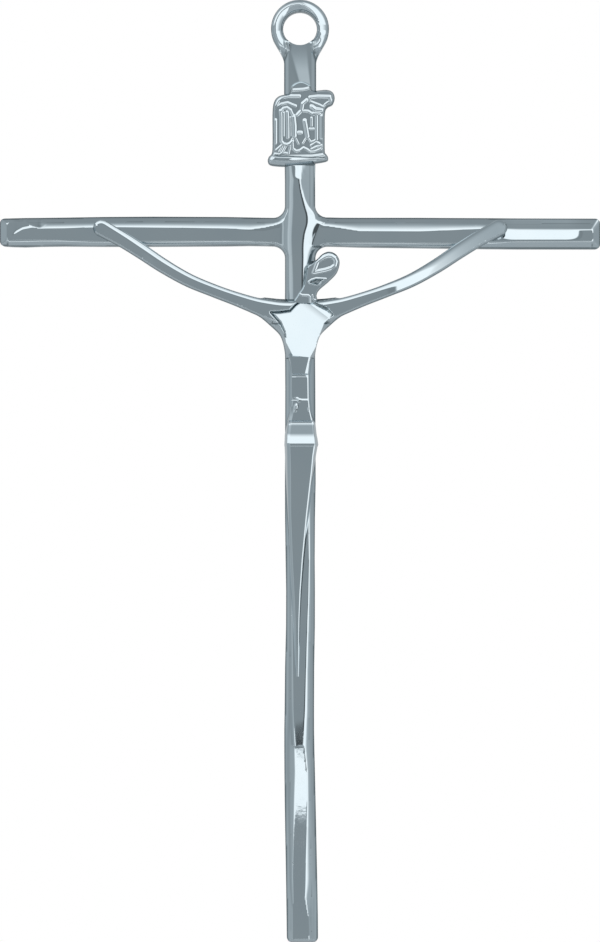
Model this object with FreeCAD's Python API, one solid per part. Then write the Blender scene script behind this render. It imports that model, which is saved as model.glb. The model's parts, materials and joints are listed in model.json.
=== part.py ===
import FreeCAD
import Part
import math
import os

# A hanging wall crucifix in bright-plated zinc casting, drawn in millimetres.
# The upright and crossbar are one casting that ends in a flat hanging eye. The figure and the
# scroll are castings of their own, seated on the crowned front of the cross and drawn down
# from behind by machine screws, whose heads sit in counterbores between the cored-out cells.
#
# Frame: origin at the centre of the eye's bore, +X to the viewer's right, +Y towards the wall,
# +Z up along the upright.

# ---- cross: driving dimensions -----------------------------------------------------------
TOTAL_HEIGHT = 320.0        # top of the eye to the foot
TOTAL_SPAN = 204.0          # end to end of the crossbar
BACK_Y = 2.6                # plane that lies against the wall
FRONT_Y = -2.6              # flat land along the middle of both bars
EDGE_Y = -0.2               # where the side wall meets the crown
LAND_HALF = 2.1             # half width of that land
CROWN_SAG = 0.4             # bulge of the crown between side wall and land
CROSSBAR_HALF = 5.2
CROSSBAR_Z = -69.1
CROSSBAR_LAND_SHIFT = -0.85 # the crossbar's land lies below its middle
CROSSING_FILLET = 4.0
END_CORNER_R = 1.8

EYE_OUTER_R = 9.85
EYE_BORE_R = 5.75
EYE_SOFT = 0.6              # chamfer of the eye's back edges
EYE_INNER_Y = -1.1          # front end of the bore's wall
EYE_OUTER_Y = -0.4          # front end of the rim's wall
EYE_CROWN_SAG = 0.45
EYE_SHOULDER_R = 3.2        # where the eye runs into the upright

FOOT_Z = EYE_OUTER_R - TOTAL_HEIGHT
ARM_END = TOTAL_SPAN / 2

UPRIGHT_HALF = 5.3
UPRIGHT_HALF_FOOT = 5.65
UPRIGHT_STATIONS = [        # height and half width
    (-7.2, 5.6),
    (-24.0, 5.6),
    (-50.0, UPRIGHT_HALF),
    (-240.0, UPRIGHT_HALF),
    (FOOT_Z, UPRIGHT_HALF_FOOT),
]

# ---- cored back --------------------------------------------------------------------------
WALL = 1.7                  # wall left around each cell
CELL_DEPTH = 2.4
CELL_CORNER_R = 1.2
RIB = 1.6
UPRIGHT_CELLS = [(-14.0, -23.5), (-45.5, -61.5), (-76.5, -98.5), (-108.5, -135.0)]
SHIN_RIBS = [-144.5, -170.0, -198.0, -226.0, -254.0, -282.0, -307.7]
CROSSBAR_CELLS = [(8.0, 33.2), (34.8, 59.6), (69.0, ARM_END - 2.6)]

# ---- fasteners ---------------------------------------------------------------------------
M3 = {"r": 1.5, "head_r": 2.75, "head_h": 1.9}
M25 = {"r": 1.25, "head_r": 2.25, "head_h": 1.6}
COUNTERBORE_Y = 0.5         # seat of every head
CLEARANCE = 0.15            # on the radius, through the cross
HEAD_GAP = 0.25
THREAD_GAP = 0.02           # tapped hole over the screw's radius
HOLE_EXTRA = 0.4            # blind hole past the screw's tip
HEAD_EDGE_R = 0.35
RECESS_REACH = 0.62         # cross recess, as a part of the head's radius
RECESS_HALF_WIDTH = 0.36
RECESS_DEPTH = 0.9

HAND_X = 64.3
HAND_Z = -69.3
# name: x, z, size, thread engagement in front of the land
SCREWS = {
    "scroll_screw_upper": (0, -29.0, M25, 1.3),
    "scroll_screw_lower": (0, -40.2, M25, 1.3),
    "torso_screw": (0, -103.5, M3, 3.6),
    "leg_screw": (0, -140.0, M3, 4.4),
    "left_hand_screw": (-HAND_X, HAND_Z, M25, 2.0),
    "right_hand_screw": (HAND_X, HAND_Z, M25, 2.0),
}

# ---- figure ------------------------------------------------------------------------------
SEAT_Y = -2.0               # back of the figure, trimmed to the cross
FLANK_Y = -3.3              # where its flanks turn forward
ARM_SECTION_POINTS = 12

# Arm from the shoulder out: x, z, half width in plan, y of the middle, half depth.
ARM_STATIONS = [
    (6.5, -96.7, 3.9, -5.0, 2.1),
    (13.2, -95.0, 3.0, -5.0, 1.9),
    (20.5, -92.5, 2.3, -4.9, 1.8),
    (29.5, -89.1, 2.2, -4.8, 1.8),
    (38.5, -85.4, 2.3, -4.7, 1.8),
    (47.5, -80.3, 2.4, -4.5, 1.8),
    (56.0, -74.6, 2.5, -4.4, 1.8),
    (62.5, -70.3, 2.7, -4.3, 1.8),
    (66.8, -67.7, 2.5, -4.2, 1.7),
    (69.0, -66.6, 1.6, -3.9, 1.2),
    (69.9, -66.2, 0.7, -3.6, 0.6),
]

# Trunk and legs downwards: z, left and right flank, left and right edge of the front, its y.
TRUNK_STATIONS = [
    (-92.9, -8.4, 8.4, -2.4, 3.6, -6.2),
    (-96.4, -11.2, 11.2, -8.6, 9.0, -7.0),
    (-99.8, -10.9, 10.4, -7.4, 7.8, -7.6),
    (-103.6, -7.5, 7.5, -5.6, 6.0, -8.4),
    (-107.7, -5.6, 5.8, -4.1, 4.9, -9.2),
    (-111.3, -5.1, 5.1, -2.2, 3.8, -9.9),
    (-111.9, -4.9, 4.9, -1.9, 3.0, -8.7),
    (-117.4, -4.1, 4.6, -1.3, 1.6, -8.3),
    (-118.2, -4.0, 4.5, -1.3, 2.8, -7.8),
    (-125.7, -4.1, 4.4, -1.5, 2.8, -8.1),
    (-126.6, -4.2, 4.5, -0.9, 3.2, -8.4),
    (-133.2, -4.7, 5.0, -2.7, 4.2, -8.7),
    (-134.0, -4.8, 5.1, -2.8, 4.3, -8.1),
    (-138.0, -4.9, 5.5, -3.2, 4.6, -8.9),
    (-141.6, -4.9, 5.7, -3.4, 4.9, -10.2),
    (-143.6, -4.9, 5.7, -3.2, 4.6, -10.4),
    (-165.0, -4.3, 3.4, -2.9, 2.3, -8.5),
    (-191.0, -3.2, 0.6, -2.0, -0.1, -5.8),
    (-219.5, -1.4, -0.1, -0.9, -0.5, -3.1),
]
FLANK_LEAD = 0.4            # least depth from flank to front

HEAD_FRONT_Y = -7.0
HEAD_OUTLINE = [
    (2.6, -94.0), (1.1, -89.6), (1.8, -86.2), (2.7, -82.9), (4.4, -79.5), (7.0, -76.9),
    (9.9, -75.8), (12.6, -77.0), (13.6, -79.9), (12.7, -82.9), (10.7, -85.7), (8.0, -88.2),
    (6.1, -90.6), (5.4, -94.0),
]
FACE_RECESS = [
    (6.2, -83.6), (5.9, -81.2), (8.2, -78.6), (10.6, -77.9), (11.6, -79.6), (10.6, -81.9), (8.4, -83.2),
]
FACE_FLOOR_Y = -6.1
CHEEK_RECESS = [(4.2, -85.0), (6.4, -84.4), (8.6, -84.6), (7.0, -86.0), (5.2, -86.2)]
CHEEK_FLOOR_Y = -6.5

# ---- scroll ------------------------------------------------------------------------------
SCROLL_BACK_Y = -0.9
SCROLL_FRONT_Y = -4.9
SCROLL_RELIEF = 0.5         # height of the reeds and leaves
SCROLL_SINK = 0.3           # how far their roots run into the panel
PANEL_LEFT = -9.7
PANEL_RIGHT = 8.7
PANEL_BOTTOM = -45.0
PANEL_TOP = -23.3
PANEL_EDGE_R = 0.8
PANEL_SHOULDER_R = 3.4
TOP_ROLL = {"left": (-3.6, -24.0), "right": (9.3, -23.9), "r": 2.5, "y": -3.2}
BOTTOM_ROLL = {"left": (-9.4, -45.0), "right": (7.8, -44.6), "r": 1.75, "y": -3.6}
TAB_X = 0.8
TAB_Z = -21.6
TAB_R = 3.6
TAB_FRONT_Y = -4.0
LEAF_COUNT = 4
LEAF_PITCH = 3.7
LEAF_HALF_LENGTH = 5.4
LEAF_HALF_WIDTH = 1.35
LEAF_Z = -35.2
REED_HALF_WIDTH = 0.45
REED_INSET = 1.0
REED_TOP = -29.0
REED_FOOT = -42.0

OVER = 1.0                  # how far every cutting tool runs past the face it cuts


def vec(x, y, z):
    return FreeCAD.Vector(x, y, z)


def wire_of(points):
    """A closed polygon through the points."""
    return Part.makePolygon(points + [points[0]])


def spline_wire(points):
    """A smooth closed curve through the points."""
    curve = Part.BSplineCurve()
    curve.interpolate(Points=points, PeriodicFlag=True)
    return Part.Wire(curve.toShape())


def prism(outline, y_back, y_front, smooth=False):
    """A plan outline of (x, z) points, solid from y_back forward to y_front."""
    points = [vec(x, y_back, z) for x, z in outline]
    wire = spline_wire(points) if smooth else wire_of(points)
    return Part.Face(wire).extrude(vec(0, y_front - y_back, 0))


def rounded_block(x0, x1, z0, z1, r, y_back, y_front):
    """A block with its four corners rounded in plan."""
    block = Part.makeBox(x1 - x0, y_back - y_front, z1 - z0, vec(x0, y_front, z0))
    corners = [e for e in block.Edges if abs(e.tangentAt(e.FirstParameter).y) > 0.99]
    return block.makeFillet(r, corners)


def y_cylinder(x, z, r, y_back, y_front):
    return Part.makeCylinder(r, y_back - y_front, vec(x, y_back, z), vec(0, -1, 0))


# ---- cross -------------------------------------------------------------------------------
def sag_point(a, b, sag):
    """The middle of a to b in a section, pushed forward and out by sag."""
    run_u, run_y = b[0] - a[0], b[1] - a[1]
    run = math.hypot(run_u, run_y)
    turn = math.copysign(1, run_u)
    return (a[0] + b[0]) / 2 + turn * sag * run_y / run, (a[1] + b[1]) / 2 - turn * sag * run_u / run


def bar_wire(half, place, land_shift=0.0):
    """Section of a bar: flat back, side walls, a crown on each side and the land between."""
    def line(a, b):
        return Part.makeLine(place(*a), place(*b))

    def crown(a, b):
        return Part.Arc(place(*a), place(*sag_point(a, b, CROWN_SAG)), place(*b)).toShape()

    left_edge, right_edge = (-half, EDGE_Y), (half, EDGE_Y)
    left_land, right_land = (land_shift - LAND_HALF, FRONT_Y), (land_shift + LAND_HALF, FRONT_Y)
    left_back, right_back = (-half, BACK_Y), (half, BACK_Y)
    return Part.Wire([
        line(left_back, left_edge),
        crown(left_edge, left_land),
        line(left_land, right_land),
        crown(right_land, right_edge),
        line(right_edge, right_back),
        line(right_back, left_back),
    ])


def upright():
    sections = [bar_wire(half, lambda u, y, z=z: vec(u, y, z)) for z, half in UPRIGHT_STATIONS]
    plan = rounded_block(-UPRIGHT_HALF_FOOT, UPRIGHT_HALF_FOOT, FOOT_Z, 0, END_CORNER_R,
                         BACK_Y + OVER, FRONT_Y - OVER)
    return Part.makeLoft(sections, True, True).common(plan)


def crossbar():
    sections = [bar_wire(CROSSBAR_HALF, lambda u, y, x=x: vec(x, y, CROSSBAR_Z + u), CROSSBAR_LAND_SHIFT)
                for x in (-ARM_END, ARM_END)]
    plan = rounded_block(-ARM_END, ARM_END, CROSSBAR_Z - CROSSBAR_HALF, CROSSBAR_Z + CROSSBAR_HALF,
                         END_CORNER_R, BACK_Y + OVER, FRONT_Y - OVER)
    return Part.makeLoft(sections, True, True).common(plan)


def crossing_gussets():
    """Concave fillets in the four corners where the bars meet."""
    webs = []
    r = CROSSING_FILLET
    for sx in (-1, 1):
        for sz in (-1, 1):
            x_wall, z_wall = sx * UPRIGHT_HALF, CROSSBAR_Z + sz * CROSSBAR_HALF
            x_in, x_out = x_wall - sx * OVER, x_wall + sx * r
            z_in, z_out = z_wall - sz * OVER, z_wall + sz * r
            block = prism([(x_in, z_in), (x_out, z_in), (x_out, z_out), (x_in, z_out)], BACK_Y, EDGE_Y)
            webs.append(block.cut(y_cylinder(x_out, z_out, r, BACK_Y + OVER, EDGE_Y - OVER)))
    return webs


def eye():
    """The hanging eye: a plain bore with a rounded ring around it."""
    top = ((EYE_BORE_R + EYE_OUTER_R) / 2, FRONT_Y)
    inner_front = (EYE_BORE_R, EYE_INNER_Y)
    outer_front = (EYE_OUTER_R, EYE_OUTER_Y)
    inner_mid = sag_point(inner_front, top, EYE_CROWN_SAG)
    outer_mid = sag_point(top, outer_front, EYE_CROWN_SAG)
    straight = [outer_front, (EYE_OUTER_R, BACK_Y - EYE_SOFT), (EYE_OUTER_R - EYE_SOFT, BACK_Y),
                (EYE_BORE_R + EYE_SOFT, BACK_Y), (EYE_BORE_R, BACK_Y - EYE_SOFT), inner_front]
    edges = [Part.Arc(*[vec(r, y, 0) for r, y in arc]).toShape()
             for arc in ((inner_front, inner_mid, top), (top, outer_mid, outer_front))]
    edges += [Part.makeLine(vec(*a, 0), vec(*b, 0)) for a, b in zip(straight[:-1], straight[1:])]
    return Part.Face(Part.Wire(edges)).revolve(vec(0, 0, 0), vec(0, 1, 0), 360)


def eye_shoulders():
    """Concave fillets where the ring runs into the upright."""
    half = UPRIGHT_STATIONS[0][1]
    reach = EYE_OUTER_R + EYE_SHOULDER_R
    x = half + EYE_SHOULDER_R
    z = -math.sqrt(reach ** 2 - x ** 2)
    touch = EYE_OUTER_R / reach
    webs = []
    for side in (-1, 1):
        block = prism([(side * (half - OVER), z), (side * x, z),
                       (side * x * touch, z * touch), (side * (half - OVER), z * touch)], BACK_Y, EDGE_Y)
        round_off = y_cylinder(side * x, z, EYE_SHOULDER_R, BACK_Y + OVER, EDGE_Y - OVER)
        webs.append(block.cut(round_off))
    return webs


def cell(x0, x1, z0, z1):
    return rounded_block(x0, x1, z0, z1, CELL_CORNER_R, BACK_Y + OVER, BACK_Y - CELL_DEPTH)


def cells():
    """Cored-out cells in the back, with ribs and solid pads left between them."""
    reach_up = UPRIGHT_HALF - WALL
    reach_bar = CROSSBAR_HALF - WALL
    shins = [(top - RIB / 2, foot + RIB / 2) for top, foot in zip(SHIN_RIBS[:-1], SHIN_RIBS[1:])]
    made = [cell(-reach_up, reach_up, foot, top) for top, foot in UPRIGHT_CELLS + shins]
    for side in (-1, 1):
        for span in CROSSBAR_CELLS:
            x0, x1 = sorted(side * end for end in span)
            made.append(cell(x0, x1, CROSSBAR_Z - reach_bar, CROSSBAR_Z + reach_bar))
    return made


def screw_way(x, z, size):
    """Counterbore and clearance hole through the cross."""
    bore = y_cylinder(x, z, size["head_r"] + HEAD_GAP, BACK_Y + OVER, COUNTERBORE_Y)
    return bore.fuse(y_cylinder(x, z, size["r"] + CLEARANCE, BACK_Y, FRONT_Y - OVER))


def tapped_hole(x, z, size, bite):
    """Blind hole in the figure or the scroll, open where it seats on the cross."""
    return y_cylinder(x, z, size["r"] + THREAD_GAP, FRONT_Y + OVER, FRONT_Y - bite - HOLE_EXTRA)


def solid_cross():
    """The cross before coring and drilling: what the figure and the scroll seat on."""
    return upright().fuse([crossbar(), eye()] + crossing_gussets() + eye_shoulders())


def cross_casting(blank):
    ways = [screw_way(x, z, size) for x, z, size, _ in SCREWS.values()]
    bore = y_cylinder(0, 0, EYE_BORE_R, BACK_Y + OVER, FRONT_Y - OVER)
    return blank.cut(cells() + ways + [bore])


# ---- figure ------------------------------------------------------------------------------
def arm(side):
    """One arm from shoulder to hand, an oval bar lofted along its curve."""
    sections = []
    for i, (x, z, half, y_mid, half_depth) in enumerate(ARM_STATIONS):
        before = ARM_STATIONS[max(i - 1, 0)]
        after = ARM_STATIONS[min(i + 1, len(ARM_STATIONS) - 1)]
        run_x, run_z = after[0] - before[0], after[1] - before[1]
        run = math.hypot(run_x, run_z)
        points = []
        for k in range(ARM_SECTION_POINTS):
            turn = 2 * math.pi * k / ARM_SECTION_POINTS
            reach = half * math.cos(turn) / run
            points.append(vec(side * (x - run_z * reach), y_mid + half_depth * math.sin(turn),
                              z + run_x * reach))
        sections.append(spline_wire(points))
    return Part.makeLoft(sections, True, False)


def trunk():
    """Chest, waist, cloth, knees and shins in flat facets."""
    sections = []
    for z, left, right, front_left, front_right, front in TRUNK_STATIONS:
        flank = max(FLANK_Y, front + FLANK_LEAD)
        sections.append(wire_of([
            vec(left, SEAT_Y, z), vec(left, flank, z), vec(front_left, front, z),
            vec(front_right, front, z), vec(right, flank, z), vec(right, SEAT_Y, z),
        ]))
    return Part.makeLoft(sections, True, True)


def head():
    """The bowed head, a drop-shaped plate with two shallow recesses and no features."""
    plate = prism(HEAD_OUTLINE, SEAT_Y, HEAD_FRONT_Y, smooth=True)
    face = prism(FACE_RECESS, FACE_FLOOR_Y, HEAD_FRONT_Y - OVER, smooth=True)
    cheek = prism(CHEEK_RECESS, CHEEK_FLOOR_Y, HEAD_FRONT_Y - OVER, smooth=True)
    return plate.cut([face, cheek])


def tapped_for(prefix):
    return [tapped_hole(*place) for name, place in SCREWS.items() if name.startswith(prefix)]


def corpus_casting(blank):
    raw = trunk().fuse([arm(-1), arm(1), head()])
    taps = tapped_for("torso") + tapped_for("leg") + tapped_for("left_hand") + tapped_for("right_hand")
    return raw.cut(blank).cut(taps)


# ---- scroll ------------------------------------------------------------------------------
def roll(left, right, r, y):
    """A rolled edge: a bar with ball ends."""
    a, b = vec(left[0], y, left[1]), vec(right[0], y, right[1])
    rod = Part.makeCylinder(r, (b - a).Length, a, b - a)
    return rod.fuse([Part.makeSphere(r, a), Part.makeSphere(r, b)])


def leaf(x):
    """A raised pointed leaf between two arcs."""
    y = SCROLL_FRONT_Y + SCROLL_SINK
    tip = vec(x, y, LEAF_Z + LEAF_HALF_LENGTH)
    foot = vec(x, y, LEAF_Z - LEAF_HALF_LENGTH)
    right = Part.Arc(tip, vec(x + LEAF_HALF_WIDTH, y, LEAF_Z), foot).toShape()
    left = Part.Arc(foot, vec(x - LEAF_HALF_WIDTH, y, LEAF_Z), tip).toShape()
    return Part.Face(Part.Wire([right, left])).extrude(vec(0, -SCROLL_SINK - SCROLL_RELIEF, 0))


def reed(x):
    """A raised upright rib beside the leaves."""
    return rounded_block(x - REED_HALF_WIDTH, x + REED_HALF_WIDTH, REED_FOOT, REED_TOP,
                         REED_HALF_WIDTH - 0.05, SCROLL_FRONT_Y + SCROLL_SINK,
                         SCROLL_FRONT_Y - SCROLL_RELIEF)


def panel():
    """The flat of the scroll, its top left corner carried round in a large radius."""
    flat = rounded_block(PANEL_LEFT, PANEL_RIGHT, PANEL_BOTTOM, PANEL_TOP, PANEL_EDGE_R,
                         SCROLL_BACK_Y, SCROLL_FRONT_Y)
    x, z = PANEL_LEFT + PANEL_SHOULDER_R, PANEL_TOP - PANEL_SHOULDER_R
    corner = prism([(PANEL_LEFT - OVER, z), (x, z), (x, PANEL_TOP + OVER),
                    (PANEL_LEFT - OVER, PANEL_TOP + OVER)], SCROLL_BACK_Y + OVER, SCROLL_FRONT_Y - OVER)
    keep = y_cylinder(x, z, PANEL_SHOULDER_R, SCROLL_BACK_Y + 2 * OVER, SCROLL_FRONT_Y - 2 * OVER)
    return flat.cut(corner.cut(keep))


def scroll_casting(blank):
    """The scroll: a panel with rolled top and bottom edges, a half-round tab, reeds and leaves."""
    middle = (PANEL_LEFT + PANEL_RIGHT) / 2
    leaves = [leaf(middle + LEAF_PITCH * (i - (LEAF_COUNT - 1) / 2)) for i in range(LEAF_COUNT)]
    reeds = [reed(PANEL_LEFT + REED_INSET), reed(PANEL_RIGHT - REED_INSET)]
    tab = y_cylinder(TAB_X, TAB_Z, TAB_R, SCROLL_BACK_Y, TAB_FRONT_Y)
    raw = panel().fuse([roll(**TOP_ROLL), roll(**BOTTOM_ROLL), tab] + reeds + leaves)
    return raw.cut(blank).cut(tapped_for("scroll"))


# ---- screws ------------------------------------------------------------------------------
def screw(x, z, size, bite):
    """A cheese-head machine screw with a cross recess, its head towards the wall."""
    head_top = COUNTERBORE_Y + size["head_h"]
    cheese = y_cylinder(x, z, size["head_r"], head_top, COUNTERBORE_Y)
    rim = [e for e in cheese.Edges
           if abs(e.CenterOfMass.y - head_top) < HEAD_EDGE_R and len(e.Vertexes) == 1]
    cheese = cheese.makeFillet(HEAD_EDGE_R, rim)
    shank = y_cylinder(x, z, size["r"], COUNTERBORE_Y, FRONT_Y - bite)
    reach = size["head_r"] * RECESS_REACH
    slots = [Part.makeBox(2 * wide, RECESS_DEPTH, 2 * tall, vec(x - wide, head_top - RECESS_DEPTH, z - tall))
             for wide, tall in ((reach, RECESS_HALF_WIDTH), (RECESS_HALF_WIDTH, reach))]
    return cheese.fuse(shank).cut(slots)


def main():
    os.makedirs("parts", exist_ok=True)
    blank = solid_cross()
    pieces = {
        "cross_casting": cross_casting(blank),
        "corpus_casting": corpus_casting(blank),
        "scroll_casting": scroll_casting(blank),
    }
    for name, place in SCREWS.items():
        pieces[name] = screw(*place)
    for name, shape in pieces.items():
        shape = shape.removeSplitter()
        print(f"{name}: valid {shape.isValid()}, solids {len(shape.Solids)}, volume {shape.Volume:.1f}")
        shape.exportStep(os.path.join("parts", name + ".step"))


main()
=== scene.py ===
import json
import math

import bpy
import numpy as np
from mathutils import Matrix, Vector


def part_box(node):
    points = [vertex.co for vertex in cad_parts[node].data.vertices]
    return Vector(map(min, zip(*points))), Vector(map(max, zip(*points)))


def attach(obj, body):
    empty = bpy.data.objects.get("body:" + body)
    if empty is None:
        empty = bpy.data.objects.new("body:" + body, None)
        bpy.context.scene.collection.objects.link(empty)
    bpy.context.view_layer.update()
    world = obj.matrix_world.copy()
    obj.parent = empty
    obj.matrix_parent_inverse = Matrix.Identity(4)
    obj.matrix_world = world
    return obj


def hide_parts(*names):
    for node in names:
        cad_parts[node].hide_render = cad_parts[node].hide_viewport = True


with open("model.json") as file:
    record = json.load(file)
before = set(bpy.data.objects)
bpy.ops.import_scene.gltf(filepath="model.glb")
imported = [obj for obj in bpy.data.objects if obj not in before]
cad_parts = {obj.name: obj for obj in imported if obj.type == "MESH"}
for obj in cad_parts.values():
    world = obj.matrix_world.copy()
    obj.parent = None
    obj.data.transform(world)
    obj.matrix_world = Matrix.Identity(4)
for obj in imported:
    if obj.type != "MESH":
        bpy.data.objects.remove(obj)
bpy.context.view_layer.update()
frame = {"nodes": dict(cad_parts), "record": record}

# A hanging crucifix in bright-plated zinc. Its castings are reliefs, each with a plan outline, a
# front surface and a back surface, except for the figure's legs, which are rows of one section.
# Sizes are in millimetres, in the frame of the CAD model, and "forward" is the distance towards
# the viewer, so y = -forward.

MM = 0.001
CROSS_LOW, CROSS_HIGH = [[v / MM for v in corner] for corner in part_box("cross_casting")]
MOUNTS = {m["name"]: m for m in frame["record"]["mounts"]}

# ---- cross ----
ARM_END = CROSS_HIGH[0]
FOOT_Z = CROSS_LOW[2]
BACK = -CROSS_HIGH[1]
LAND = -CROSS_LOW[1]
EYE_OUTER = CROSS_HIGH[2]
EYE_BORE = MOUNTS["hanging_eye"]["dims"]["r_mm"]
EDGE = 0.2  # forward distance of the rim of the front
CORNER_R = 1.8
CROSSING_R = 4
SHOULDER_R = 3.2
NECK_TOP = -6

# height up the upright: middle, half width, left ridge, right ridge, tilt beyond each ridge, and
# how far in from the right ridge the land already leans
UPRIGHT = [
    (FOOT_Z, 0.84, 5.3, -2.4, 3.2, 0, 0, 0),
    (-301, 0.75, 5.32, -2.4, 2.9, 0, 0, 0),
    (-294, 0.64, 5.31, -2.4, 1.7, 0, 0.08, 0),
    (-285, 0.48, 5.29, -2.2, 1.9, 0, 0.17, 0),
    (-273, 0.25, 5.27, -1.8, 2.2, 0, 0.2, 0),
    (-262, 0.05, 5.24, -1.6, 2.45, 0.05, 0.2, 0),
    (-252, -0.11, 5.18, -1.5, 2.3, 0.16, 0.2, 0),
    (-245, -0.22, 5.11, -1.7, 1.6, 0.17, 0.2, 0),
    (-243.6, -0.23, 5.1, -1.7, 1.5, 0.17, 0.2, 0),
    (-243.3, -0.23, 5.1, -1.7, 1.5, 0.17, 0.2, 0.4),
    (-238, -0.28, 5.05, -2, 1.75, 0.15, 0.2, 0.4),
    (-231, -0.23, 4.99, -2.3, 2.1, 0.1, 0.2, 0.5),
    (-217, -0.13, 4.95, -2.4, 2.25, 0.08, 0.2, 0.45),
    (-203, 0.15, 4.9, -2.6, 2.6, 0.08, 0.2, 0.5),
    (-191, 0.18, 4.89, -2.6, 3, 0.08, 0.2, 0.4),
    (-180, 0.05, 4.94, -2.7, 3.15, 0.08, 0.2, 0.3),
    (-166, 0, 5.08, -2.8, 2.95, 0.05, 0.2, 0.3),
    (-154, 0.1, 5.22, -3.2, 3, 0.05, 0.2, 0),
    (-122, 0.1, 5.1, -3.2, 2.9, 0.05, 0.2, 0),
    (-112, 0.03, 5.1, -3.2, 3.3, 0.05, 0.2, 0),
    (-94, 0, 5.14, -3.4, 4.2, 0, 0.4, 0),
    (-88, 0.05, 5.15, -4, 4.2, 0.15, 0.5, 0),
    (-78, 0.07, 5.18, -4, 4.3, 0.15, 0.55, 0),
    (-52, 0, 5.13, -3.9, 4.5, 0.2, 0.6, 0),
    (-40, 0, 5.3, -4.2, 4.4, 0, 0, 0),
    (-22, 0.04, 5.44, -3.9, 3.9, 0, 0, 0),
    (NECK_TOP, 0.05, 5.44, -3.9, 3.9, 0, 0, 0),
]
# distance along the crossbar: top edge, upper ridge, lower ridge, bottom edge, and how far below
# the upper ridge the land already leans
CROSSBAR = [
    (-ARM_END, -64.45, -66, -72.3, -73.7, 0),
    (-97.6, -64.35, -66, -72.1, -74, 0),
    (-93.3, -64.25, -66.2, -71.9, -74.1, 0),
    (-88, -64.2, -67.9, -71.9, -73.9, 0),
    (-80, -64.1, -67.8, -72, -73.8, 0),
    (-66, -63.88, -67.4, -72.5, -73.9, 0),
    (-50, -63.78, -67.5, -72.3, -73.9, 0.2),
    (-25, -63.9, -67.75, -72.1, -73.75, 0.4),
    (-17, -64.05, -68.1, -72.3, -73.62, 0.8),
    (-12, -64.15, -67.4, -72.6, -73.7, 1.5),
    (-8, -64.2, -66.5, -72.8, -73.8, 1.5),
    (4.3, -64, -66.6, -73.2, -73.9, 1.2),
    (10, -64.05, -67, -73, -73.85, 1),
    (14, -64.15, -67.6, -72.9, -73.95, 0.8),
    (20, -64.17, -68.6, -72.8, -74.15, 0.7),
    (40, -64.17, -68.75, -72.9, -74.4, 0.6),
    (51, -64.25, -68.35, -73, -74.55, 0.5),
    (64, -64.3, -67.9, -72.6, -74.7, 0),
    (74, -64.38, -68.2, -72.4, -74.78, 0),
    (ARM_END, -64.45, -68.3, -72.3, -74.8, 0),
]
UPPER_TILT = 0.1
LOWER_TILT = 0.22
CORNER_BLEND = 1.5  # how far from the edges an inner corner blends from bar to bar
RIDGE_SOFT = 0.012
OUTSIDE_SLOPE = 2  # how steeply a flank falls on beyond the outline
LEAST_RISE = 0.5
MOST_CREASE = 0.9

# A constant that holds just two numbers is a fade, from nothing at the first to all at the second,
# along x or z unless a comment says otherwise. The two that end in ALONG are directions.

# curve of each flank: 1 is straight, and more is steeper at the edge and flatter at the ridge
LEFT_POWER = 2
RIGHT_POWER = 2.4
TOP_POWER = 2
BOTTOM_POWER = 4
STRAIGHT_FOOT = (-286, -300)
STRAIGHT_LEFT = (-86, -89)
STRAIGHT_RIGHT = (60, 70)
BOTTOM_FROM = (9, 12)
BOTTOM_TO = (72, 66)

END_SLOPE = 2.6  # length of the slope at each end of the crossbar
END_SOFT = 0.35
END_CREASE = (1.3, 1.1)  # in lengths of the end slope
FOOT_SLOPE = 1
FOOT_SOFT = 0.3
LAND_SOFT = 0.1
LAND_LEAN = 0.115
LAND_LEAN_TOP = -110
BAR_LEAN = 0.055
BAR_LEAN_FROM = (4.5, 8)
# where the land of the lower upright leans to the right: height, lean
LAND_TURN = [(-243.6, 0), (-243.3, 0.106), (-237, 0.097), (-205, 0)]
LAND_PIVOT = 2
LAND_TURN_FROM = (-1.3, 0)  # from the left ridge
# the low step in which the crossbar's upper ridge fades out at its left end
TIP = [(-97.6, -70.7), (-96, -69.4), (-94, -68.3), (-91, -67.7), (-88, -67.7)]
TIP_STEP = 0.12
TIP_SIDE = (-0.1, 0.9)  # up from the line
TIP_FROM = (-98.2, -96)
TIP_TO = (-85, -90)
# the rounded land at the right end of the crossbar
END_SWELL = 0.7
END_SWELL_MIDDLE = 0.4
END_SWELL_FROM = (62, 73)
END_SWELL_TO = (98.5, 90)

# height: the column's crest, where its left side starts to fall, the width, steepness and bend of
# its right side
COLUMN = [
    (-94, 1.1, -1.3, 1, 0.45, 0.05),
    (-83, 1.1, -1.4, 1.2, 0.45, 0.06),
    (-78, 1.2, -1.6, 1.8, 0.45, 0.06),
    (-73, 1.25, -1.8, 3, 0.45, 0.02),
    (-70, 1.6, -1.8, 3.4, 0.6, 0),
    (-66, 2.6, -1.6, 4, 0.6, 0),
    (-64, 2.6, -1.5, 3, 0.6, 0),
    (-60, 1.55, -1.3, 1, 0.62, 0),
    (-55, 0.45, -1.3, 0.35, 0.62, 0),
    (-50, -0.2, -1, 0.4, 0.62, 0),
    (-44, -0.4, -0.8, 0.6, 0.62, 0),
]
COLUMN_TOP = 3.4
COLUMN_FALL = 0.2
COLUMN_LEAN = 0.11
COLUMN_LEAN_WIDE = 1
COLUMN_LEFT_R = 10
COLUMN_SOFT = 0.5
COLUMN_STEEP_SOFT = 0.4
COLUMN_HEAD_Z = -51.2  # above this the column falls back towards the scroll
COLUMN_HEAD_FALL = 0.11
COLUMN_HEAD_SOFT = 0.8
COLUMN_HEAD_X = -0.3
COLUMN_HEAD_WIDE = 1.8
COLUMN_TO = (-44, -46.5)
COLUMN_FROM = (-110, -95)
COLUMN_REACH = 9
COLUMN_SUNK = 2  # how deep the column lies where it has faded out
COLUMN_JOIN = 0.3
CLEAR_TOP = -46  # between these heights nothing but the column shows right of its crest
CLEAR_FOOT = -95

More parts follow.
